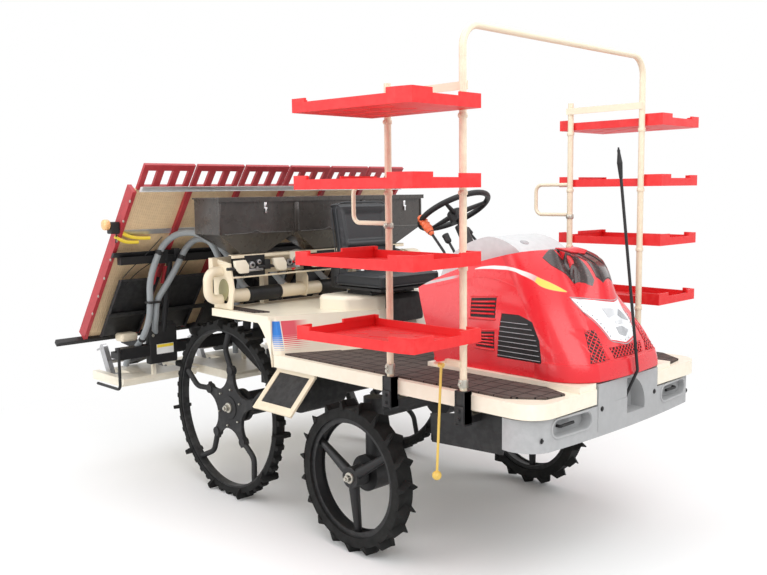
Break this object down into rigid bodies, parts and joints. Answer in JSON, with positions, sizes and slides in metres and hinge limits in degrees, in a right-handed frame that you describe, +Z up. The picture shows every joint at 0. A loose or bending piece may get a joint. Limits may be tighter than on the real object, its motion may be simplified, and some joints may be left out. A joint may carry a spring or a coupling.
{
  "type": "rice transplanter",
  "caption": "Riding rice transplanter with a hood, seedling racks on both sides, a sloping seedling table and planting rotors behind.",
  "frame": {"origin": "on the ground under the middle of the machine's length and width", "axes": "+X forward, +Y to the machine's left, +Z up"},
  "size_m": [3.0223, 2.15, 2.142],
  "materials": {
    "cream_paint": "satin paint on steel",
    "cream_plastic": "moulded panel",
    "hood_red": "glossy moulded panel",
    "tray_red": "moulded",
    "crimson": "moulded",
    "bumper_grey": "grained",
    "dash_grey": "grained",
    "black_plastic": "grained",
    "black_paint": "semi-matt paint",
    "cast_black": "painted casting",
    "tyre": "rubber",
    "mat_rubber": "ribbed sheet",
    "seat_cover": "vinyl",
    "hopper_smoke": "smoke tinted",
    "hose_grey": "ribbed hose",
    "steel": "bare",
    "chrome": "ground",
    "aluminium": "extruded",
    "marker_black": "fibre rod",
    "lamp_clear": "clear lens"
  },
  "bodies": {
    "chassis": {"blower": "cream_paint", "bumper_fittings": "black_plastic", "control_levers": "black_plastic", "dash_cowl": "dash_grey", "deck_front": "cream_plastic", "deck_rear": "cream_plastic", "engine_block": "cast_black", "fertiliser_frame": "cream_paint", "foot_mats": "mat_rubber", "front_axle": "black_paint", "front_bumper": "bumper_grey", "hopper": "hopper_smoke", "lift_cylinder": "steel", "main_frame": "black_paint", "marker_arms": "cream_paint", "metering_units": "black_plastic", "rack_frames": "cream_paint", "rack_trays": "tray_red", "rear_axle": "cast_black", "seat_back": "seat_cover", "seat_base": "black_paint", "seat_cushion": "seat_cover", "side_steps": "cream_paint", "steering_column": "black_paint", "step_pads": "black_plastic", "top_arch": "cream_paint"},
    "hood": {"hood_shell": "hood_red", "hood_grilles": "black_plastic", "hood_lamp": "lamp_clear", "hood_scoop": "black_plastic"},
    "steering_wheel_body": {"steering_wheel": "black_plastic"},
    "hopper_lid": {"hopper_lids": "hopper_smoke"},
    "centre_marker_body": {"centre_marker": "marker_black"},
    "side_marker_left_body": {"side_marker_left": "marker_black"},
    "side_marker_right_body": {"side_marker_right": "marker_black"},
    "knuckle_left": {"front_knuckle_left": "black_paint"},
    "knuckle_right": {"front_knuckle_right": "black_paint"},
    "front_wheel_left": {"front_tyre_left": "tyre", "front_rim_left": "black_paint"},
    "front_wheel_right": {"front_tyre_right": "tyre", "front_rim_right": "black_paint"},
    "rear_wheel_left": {"rear_tyre_left": "tyre", "rear_spider_left": "cast_black"},
    "rear_wheel_right": {"rear_tyre_right": "tyre", "rear_spider_right": "cast_black"},
    "lower_link": {"lift_lower_link": "black_paint"},
    "upper_link": {"lift_upper_link": "black_paint"},
    "cylinder_rod": {"lift_rod": "chrome"},
    "planting_unit": {"planting_frame": "black_paint", "planting_cases": "black_paint", "floats": "cream_plastic", "unit_covers": "black_plastic", "side_guards": "black_paint", "fertiliser_hoses": "hose_grey"},
    "seedling_table": {"table_board": "black_plastic", "table_frame": "crimson", "table_extensions": "crimson", "table_rails": "aluminium"},
    "rotors": {"planting_rotors": "steel"}
  },
  "joints": [
    {"name": "steer_right", "type": "hinge", "parent": "chassis", "child": "knuckle_right", "pos_m": [0.551, -0.515, 0.6], "axis": [0, 0, 1], "range_deg": [-38, 38]},
    {"name": "steer_left", "type": "hinge", "parent": "chassis", "child": "knuckle_left", "pos_m": [0.551, 0.515, 0.6], "axis": [0, 0, 1], "range_deg": [-38, 38]},
    {"name": "steering_wheel_turn", "type": "hinge", "parent": "chassis", "child": "steering_wheel_body", "pos_m": [0.566, 0, 1.44], "axis": [-0.5, 0, 0.866], "range_deg": [-342, 342]},
    {"name": "front_wheel_right_spin", "type": "hinge", "parent": "knuckle_right", "child": "front_wheel_right", "pos_m": [0.551, -0.628, 0.328], "axis": [0, 1, 0], "continuous": true},
    {"name": "front_wheel_left_spin", "type": "hinge", "parent": "knuckle_left", "child": "front_wheel_left", "pos_m": [0.551, 0.628, 0.328], "axis": [0, 1, 0], "continuous": true},
    {"name": "rear_wheel_right_spin", "type": "hinge", "parent": "chassis", "child": "rear_wheel_right", "pos_m": [-0.447, -0.587, 0.448], "axis": [0, 1, 0], "continuous": true},
    {"name": "rear_wheel_left_spin", "type": "hinge", "parent": "chassis", "child": "rear_wheel_left", "pos_m": [-0.447, 0.587, 0.448], "axis": [0, 1, 0], "continuous": true},
    {"name": "hood_open", "type": "hinge", "parent": "chassis", "child": "hood", "pos_m": [0.734, 0, 0.8163], "axis": [0, -1, 0], "range_deg": [0, 30]},
    {"name": "hopper_lid_open", "type": "hinge", "parent": "chassis", "child": "hopper_lid", "pos_m": [-0.511, 0, 1.5093], "axis": [0, -1, 0], "range_deg": [0, 75]},
    {"name": "centre_marker_fold", "type": "hinge", "parent": "chassis", "child": "centre_marker_body", "pos_m": [1.443, 0, 0.668], "axis": [1, 0, 0], "range_deg": [-68, 0]},
    {"name": "side_marker_right_swing", "type": "hinge", "parent": "chassis", "child": "side_marker_right_body", "pos_m": [1.111, -0.706, 0.896], "axis": [-1, 0, 0], "range_deg": [0, 90]},
    {"name": "side_marker_left_swing", "type": "hinge", "parent": "chassis", "child": "side_marker_left_body", "pos_m": [1.111, 0.706, 0.896], "axis": [1, 0, 0], "range_deg": [0, 90]},
    {"name": "lower_link_lift", "type": "hinge", "parent": "chassis", "child": "lower_link", "pos_m": [-0.569, 0, 0.54], "axis": [0, 1, 0], "range_deg": [-48, 0]},
    {"name": "upper_link_turn", "type": "hinge", "parent": "chassis", "child": "upper_link", "pos_m": [-0.539, 0, 0.78], "axis": [0, 1, 0], "range_deg": [-48, 0]},
    {"name": "planting_unit_level", "type": "hinge", "parent": "lower_link", "child": "planting_unit", "pos_m": [-1.01047, 0, 0.77474], "axis": [0, 1, 0], "range_deg": [0, 48]},
    {"name": "cylinder_stroke", "type": "slide", "parent": "chassis", "child": "cylinder_rod", "axis": [1, 0, 0], "range_m": [-0.0735, 0]},
    {"name": "table_shift", "type": "slide", "parent": "planting_unit", "child": "seedling_table", "axis": [0, 1, 0], "range_m": [-0.14, 0.14]},
    {"name": "rotor_spin", "type": "hinge", "parent": "planting_unit", "child": "rotors", "pos_m": [-1.384, 0, 0.59], "axis": [0, 1, 0], "continuous": true}
  ],
  "couplings": [
    {"joint": "steer_left", "follows": "steer_right", "ratio": 1},
    {"joint": "steering_wheel_turn", "follows": "steer_right", "ratio": 9},
    {"joint": "upper_link_turn", "follows": "lower_link_lift", "ratio": 1},
    {"joint": "planting_unit_level", "follows": "lower_link_lift", "ratio": -1},
    {"joint": "cylinder_stroke", "follows": "lower_link_lift", "m_per_rad": 0.0872}
  ]
}
